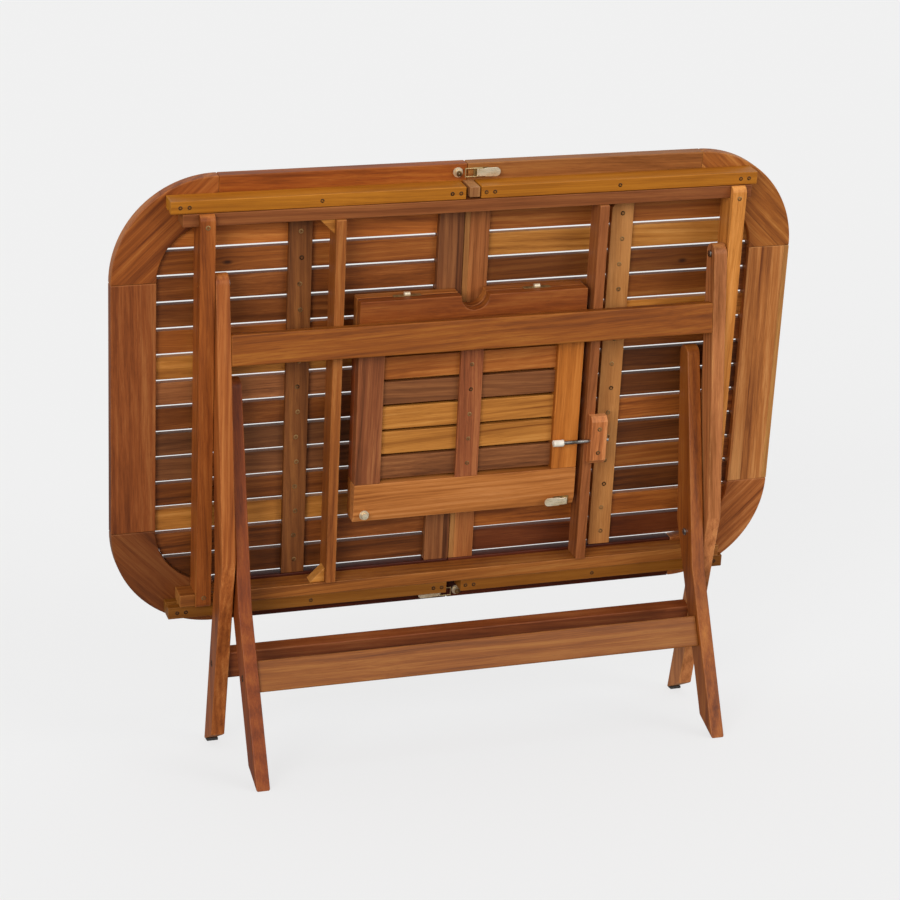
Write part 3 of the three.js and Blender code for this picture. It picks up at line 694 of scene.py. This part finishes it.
def makeLeaf():
    low, high = localBox("leaf_top_rail", topPlace)
    bottom = localBox("leaf_bottom_rail", topPlace)[0].z
    frontY, backOfFront = low.y, high.y
    x0, x1, z1 = low.x, high.x, high.z
    middle = (x0 + x1) / 2
    railLow = z1 - leaf["topRail"]
    open0, open1 = bottom + leaf["bottomRail"], railLow
    stile0, stile1 = open0 + leaf["stileGap"], open1 - leaf["stileGap"]
    inner0, inner1 = x0 + leaf["stile"], x1 - leaf["stile"]

    # the upper rails have a round hand hold in the middle
    rim = math.degrees(math.asin(leaf["notchDrop"] / leaf["notch"]))
    notched = ([(x0, railLow), (x1, railLow), (x1, z1)]
               + arc((middle, z1 - leaf["notchDrop"]), leaf["notch"], rim, -180 - rim, leaf["notchSteps"])
               + [(x0, z1)])
    leafBoard("leafTopRail", prismForm(notched, "y", frontY, backOfFront), alongX, "russet", 111,
              "leaf_top_rail", "board_brown")
    # the lower rail slopes back along its outer edge
    outline = [(frontY, bottom + leaf["slope"]), (frontY, open0), (backOfFront, open0),
               (backOfFront, bottom), (frontY + leaf["slopeFoot"], bottom)]
    leafBoard("leafBottomRail", prismForm(outline, "x", x0, x1), alongX, "honey", 112, "leaf_bottom_rail",
              "board_gold", 1.0 * mm)
    for piece, left, wood, seed, node, slot in (
            ("leafStileLeft", x0, "plum", 113, "leaf_stile_left", "board_dark"),
            ("leafStileRight", inner1, "honey", 114, "leaf_stile_right", "board_gold")):
        form = boxForm((left, frontY, stile0), (left + leaf["stile"], backOfFront, stile1))
        leafBoard(piece, form, alongZ, wood, seed, node, slot)
    pitch = (open1 - open0 - leaf["gap"]) / leaf["slats"]
    width = pitch - leaf["gap"]
    slatY = frontY + leaf["recess"]
    lows = [open0 + leaf["gap"] + i * pitch for i in range(leaf["slats"])]
    for i, z in enumerate(lows):
        form = boxForm((inner0, slatY, z), (inner1, slatY + leaf["slatThick"], z + width))
        leafBoard(f"leafSlat{i + 1}", form, alongX, leaf["frontSlats"][i], 120 + i, "leaf_slats",
                  "slat_wood", 1.2 * mm, leaf["slatLift"][i])
    face = frontY + leaf["battenRecess"]
    form = boxForm((middle - leaf["batten"], face, open0), (middle + leaf["batten"], slatY, open1))
    leafBoard("leafBatten", form, alongZ, "plum", 129, "leaf_slats", "board_dark", 1.0 * mm)
    makeScrews("leafBattenScrews", [(middle, face, z + width / 2) for z in lows], topPlace, "underframe",
               94, 0.9)

    # the other half of the leaf lies behind, its slats against the first ones
    low, high = localBox("leaf_back_panel", topPlace)
    back = ("leaf_back_panel", "board_brown")
    leafBoard("backLeafTopRail", prismForm(notched, "y", low.y, high.y), alongX, "amber", 131, *back)
    form = boxForm((x0, low.y, bottom), (x1, high.y, open0))
    leafBoard("backLeafBottomRail", form, alongX, "amber", 132, *back)
    for piece, left, seed in (("backLeafStileLeft", x0, 133), ("backLeafStileRight", inner1, 134)):
        form = boxForm((left, low.y, stile0), (left + leaf["stile"], high.y, stile1))
        leafBoard(piece, form, alongZ, "russet", seed, *back)
    slatY = high.y - leaf["backRecess"]
    for i, z in enumerate(lows):
        form = boxForm((inner0, slatY - leaf["slatThick"], z), (inner1, slatY, z + width))
        leafBoard(f"backLeafSlat{i + 1}", form, alongX, "amber", 140 + i, "leaf_back_panel", "slat_wood",
                  1.2 * mm)


makeLeaf()
print("stage 5: the folded leaf is boarded")


# ---- legs
legs = [
    ("outerLegLeft", "outer_leg_left", "outer_frame", "amber", 151),
    ("outerLegRight", "outer_leg_right", "outer_frame", "rose", 152),
    ("innerLegLeft", "inner_leg_left", "inner_frame", "russet", 153),
    ("innerLegRight", "inner_leg_right", "inner_frame", "amber", 154),
]
stretchers = [
    ("upperStretcher", "upper_stretcher", "outer_frame", "amber", 161),
    ("rearStretcher", "rear_stretcher", "outer_frame", "russet", 162),
    ("frontStretcher", "front_stretcher", "inner_frame", "amber", 163),
]


def makeLegs():
    for piece, node, body, wood, seed in legs:
        makeBoard(piece, nodeForm(node, legPlace), legPlace, alongZ, {"wood": wood, "seed": seed}, body,
                  (node,), 2.6 * mm, (1, 0, 0))
    for piece, node, body, wood, seed in stretchers:
        makeBoard(piece, nodeForm(node, legPlace), legPlace, alongX, {"wood": wood, "seed": seed}, body,
                  (node,), 2.2 * mm)


makeLegs()
print("stage 6: the legs are made")


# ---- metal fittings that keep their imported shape
fittings = {
    "paleBrass": ["catch_top", "catch_bottom", "leaf_catch"],
    "agedBrass": ["latch_base_top", "latch_base_bottom", "leaf_latch_base"],
    "brassWire": ["latch_loop_top", "latch_loop_bottom"],
    "brightSteel": ["retaining_pin", "scissor_bolt_left", "scissor_bolt_right", "top_bolt_left",
                    "top_bolt_right", "stay_left", "stay_right"],
    "creamCap": ["pin_cap"],
}
easedEdge = {"width": 0.25 * mm, "segments": 2, "angle": 40}


def dressFittings():
    for finish, names in fittings.items():
        for name in names:
            node = cadNodes[name]
            node.data.materials.clear()
            node.data.materials.append(finishes[finish])
            edge = node.modifiers.new("easedEdge", "BEVEL")
            edge.width = easedEdge["width"]
            edge.segments = easedEdge["segments"]
            edge.limit_method = "ANGLE"
            edge.angle_limit = math.radians(easedEdge["angle"])


dressFittings()

# sizes along the lever are from its pivot end, out of the face from the base
lever = {
    "half": 6.4 * mm, "tail": 7.6 * mm, "start": 14 * mm, "waist": 26 * mm, "flare": 30 * mm,
    "end": 55 * mm, "stand": 9 * mm, "plate": 1.8 * mm,
    "rollAt": 17 * mm, "rollStand": 6 * mm, "rollRadius": 3 * mm, "rollHalf": 5.5 * mm,
}
latch = {"z": 386 * mm, "screwX": 17.2 * mm, "screwFace": -9.2 * mm, "leafZ": -208 * mm,
         "leafInset": 2 * mm}
hinge = {
    "apart": 115 * mm, "wing": 24 * mm, "wingOut": 4.5 * mm, "wingGap": 0.4 * mm, "below": 0.5 * mm,
    "above": 0.7 * mm, "back": 0.5 * mm, "knuckle": 4.2 * mm, "knuckleUp": 2.2 * mm, "knuckleHalf": 5 * mm,
}
nut = {"size": 1.5, "outer": (449 * mm, -50.5 * mm, 164 * mm), "inner": (422 * mm, -164 * mm, 172 * mm)}
glide = {"side": 2 * mm, "front": 15 * mm, "rear": 1 * mm, "thick": 5 * mm}


def makeLever(name, node, origin, sign, body):
    # broad pressed plate with a round tail, rolled round its pivot
    half, tail, waist, flare = (lever[k] for k in ("half", "tail", "waist", "flare"))
    outline = ([(lever["start"], half), (lever["start"], -half), (waist, -half), (flare, -tail)]
               + arc((lever["end"] - tail, 0), tail, -90, 90, 12) + [(flare, tail), (waist, half)])
    outline = [(origin[0] + sign * x, origin[2] + z) for x, z in outline]
    face = origin[1] - lever["stand"]
    makeBoard(name, prismForm(outline, "y", face, face + lever["plate"]), topPlace, alongX,
              finishes["paleBrass"], body, (node,), 0.6 * mm)
    roll = arc((origin[1] - lever["rollStand"], origin[0] + sign * lever["rollAt"]), lever["rollRadius"],
               0, 345, 16)
    outline = [(x, y) for y, x in roll]
    form = prismForm(outline, "z", origin[2] - lever["rollHalf"], origin[2] + lever["rollHalf"])
    makeBoard(name + "Roll", form, topPlace, alongX, finishes["agedBrass"], body, (node,), 0)


def makeHinge(name, x, y, z):
    for part, y0, y1 in (("Front", y - hinge["wingOut"], y - hinge["wingGap"]),
                         ("Back", y + hinge["wingGap"], y + hinge["wingOut"])):
        wing = boxForm((x - hinge["wing"], y0, z - hinge["below"]),
                       (x + hinge["wing"], y1, z + hinge["above"]))
        makeBoard(name + part, wing, topPlace, alongX, finishes["agedBrass"], "underframe", (),
                  0.25 * mm)
    half = hinge["knuckleHalf"]
    outline = arc((y, z + hinge["knuckleUp"]), hinge["knuckle"], 0, 340, 17)
    makeBoard(name + "Knuckle", prismForm(outline, "x", x - half, x + half), topPlace, alongX,
              finishes["paleBrass"], "underframe", (), 0.4 * mm)


def makeHardware():
    # the lower latch is turned end for end, so its lever is on the other half
    for edge, up, catchSide in (("top", 1, "left_half"), ("bottom", -1, "right_half")):
        z = up * latch["z"]
        makeLever(f"{edge}Lever", f"latch_lever_{edge}", (0, 0, z), up, f"latch_{edge}_lever")
        makeScrews(f"{edge}CatchScrew", [(-up * latch["screwX"], latch["screwFace"], z)], topPlace,
                   catchSide, 95 + up, 1.2)
    low, high = localBox("leaf_top_rail", topPlace)
    makeLever("leafLever", "leaf_latch_lever", (high.x - latch["leafInset"], low.y, latch["leafZ"]), -1,
              "leaf_lever")
    middle = (low.x + high.x) / 2
    for side, sign in (("left", -1), ("right", 1)):
        makeHinge(f"{side}LeafHinge", middle + sign * hinge["apart"], high.y + hinge["back"], high.z)
    # barrel nuts that hold the stretchers, and glides under the rear feet
    for side, sign in (("left", -1), ("right", 1)):
        for part, seed in (("outer", 96), ("inner", 97)):
            x, y, z = nut[part]
            makeScrews(f"{side}{part.title()}Nut", [(sign * x, y, z)], legPlace, f"{part}_frame",
                       seed, nut["size"], (sign, 0, 0), "screwDark")
        low, high = localBox(f"outer_leg_{side}", legPlace)
        form = boxForm((low.x + glide["side"], high.y - glide["front"], 0),
                       (high.x - glide["side"], high.y - glide["rear"], glide["thick"]))
        makeBoard(f"{side}Glide", form, legPlace, alongX, finishes["darkGlide"], "outer_frame", (),
                  1 * mm)


makeHardware()
print("stage 7: the fittings are finished")


# ---- floor and light
studio = {"floor": "7c7c7c", "floorSpeck": "7d7d7d", "floorGlow": 0.69, "floorReach": 180,
          # height from straight down at 0 to straight up at 1, and the light there
          "sky": ((0.40, 0.22), (0.52, 0.60), (0.80, 0.62))}
lamps = {
    # energy, spread in degrees, direction towards the lamp
    "keyLight": (1.65, 30, (-0.62, -0.85, 0.30)),
    "fillLight": (0.98, 30, (0.70, -0.75, 0.30)),
    "topLight": (0.2, 70, (0.3, 0.2, 1.0)),
}


def makeStudio():
    floor = bpy.data.meshes.new("floor")
    form = bmesh.new()
    bmesh.ops.create_circle(form, cap_ends=True, segments=64, radius=studio["floorReach"])
    form.to_mesh(floor)
    form.free()
    thing = bpy.data.objects.new("floor", floor)
    bpy.context.scene.collection.objects.link(thing)
    # the glowing floor keeps the shadows faint, and throws no light back on the table
    thing.visible_diffuse = False
    thing.visible_glossy = False
    material, tree = startMaterial("paleFloor")
    speck = stretched(tree, put(tree, "ShaderNodeTexCoord").outputs["Object"], (3, 3, 3), 2.0)
    tint = ramp(tree, speck, [(0.0, colour(studio["floor"])), (1.0, colour(studio["floorSpeck"]))])
    shader = put(tree, "ShaderNodeBsdfPrincipled", {"Base Color": tint, "Roughness": 0.9})
    shader.inputs["Specular IOR Level"].default_value = 0.0
    shader.inputs["Emission Color"].default_value = (1, 1, 1, 1)
    shader.inputs["Emission Strength"].default_value = studio["floorGlow"]
    put(tree, "ShaderNodeOutputMaterial", {"Surface": shader.outputs[0]})
    floor.materials.append(material)

    world = bpy.data.worlds.new("studio")
    bpy.context.scene.world = world
    world.use_nodes = True
    tree = world.node_tree
    tree.nodes.clear()
    looking = put(tree, "ShaderNodeTexCoord").outputs["Generated"]
    up = put(tree, "ShaderNodeSeparateXYZ", {0: looking}).outputs[2]
    rise = maths(tree, "MULTIPLY_ADD", up, 0.5, 0.5)
    glow = ramp(tree, rise, [(at, (level, level, level, 1)) for at, level in studio["sky"]])
    background = put(tree, "ShaderNodeBackground", {"Color": glow})
    put(tree, "ShaderNodeOutputWorld", {"Surface": background.outputs[0]})

    for name, (energy, spread, toward) in lamps.items():
        data = bpy.data.lights.new(name, "SUN")
        data.energy = energy
        data.angle = math.radians(spread)
        lamp = bpy.data.objects.new(name, data)
        lamp.rotation_mode = "QUATERNION"
        lamp.rotation_quaternion = Vector(toward).to_track_quat("Z", "Y")
        bpy.context.scene.collection.objects.link(lamp)
    bpy.context.scene.view_settings.view_transform = "Standard"


makeStudio()
print("stage 8: the floor and lights are in place")
